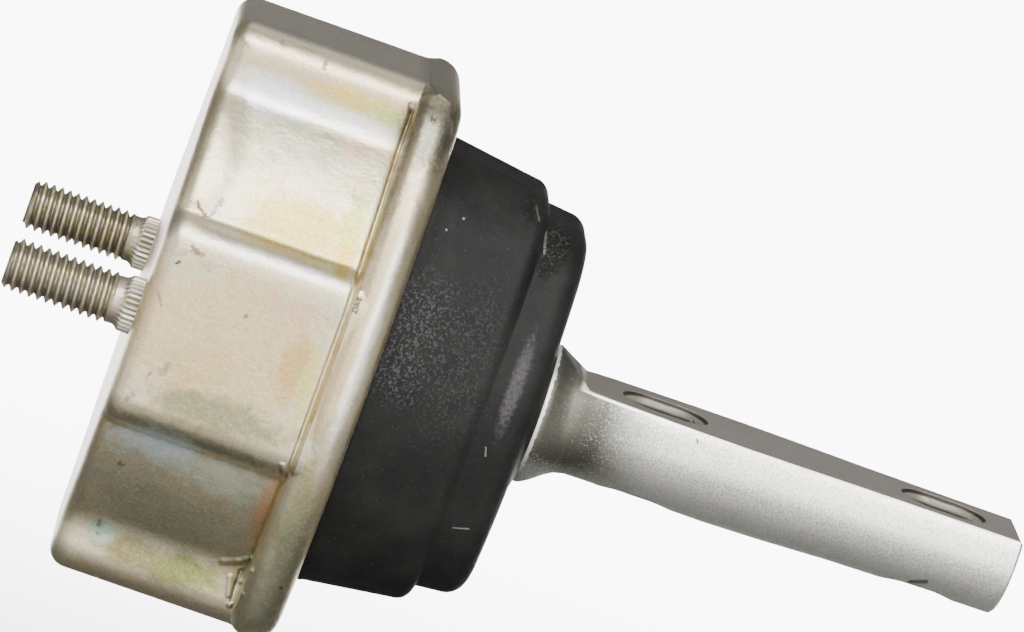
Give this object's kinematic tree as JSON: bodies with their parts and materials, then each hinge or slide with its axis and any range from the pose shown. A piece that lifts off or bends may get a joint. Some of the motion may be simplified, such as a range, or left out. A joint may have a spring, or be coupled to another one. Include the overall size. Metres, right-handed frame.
{
  "type": "engine mount",
  "caption": "Bonded rubber engine mount: drawn steel housing with rear studs, a stepped rubber body and a forged arm with a flat and long holes.",
  "frame": {"origin": "centre of the housing's flat back, midway between the studs", "axes": "+X from the studs towards the end of the arm, +Y across both studs, +Z out of the arm's flat and along the housing's long side"},
  "size_m": [0.1908, 0.077, 0.1062],
  "materials": {
    "housing_plate": "drawn sheet, zinc plated and yellow passivated",
    "stud_plate": "zinc plated, yellow passivated thread",
    "inner_steel": "plain sheet, inside",
    "inner_rubber": "smooth, inside",
    "body_rubber": "moulded, satin",
    "arm_steel": "forged, grit blasted"
  },
  "bodies": {
    "root": {"housing": "housing_plate", "near_stud": "stud_plate", "far_stud": "stud_plate", "diaphragm": "inner_rubber", "lower_orifice_plate": "inner_steel", "decoupler_disc": "inner_rubber", "upper_orifice_plate": "inner_steel", "clamp_ring": "inner_steel", "rubber_body": "body_rubber", "arm": "arm_steel"}
  },
  "joints": []
}
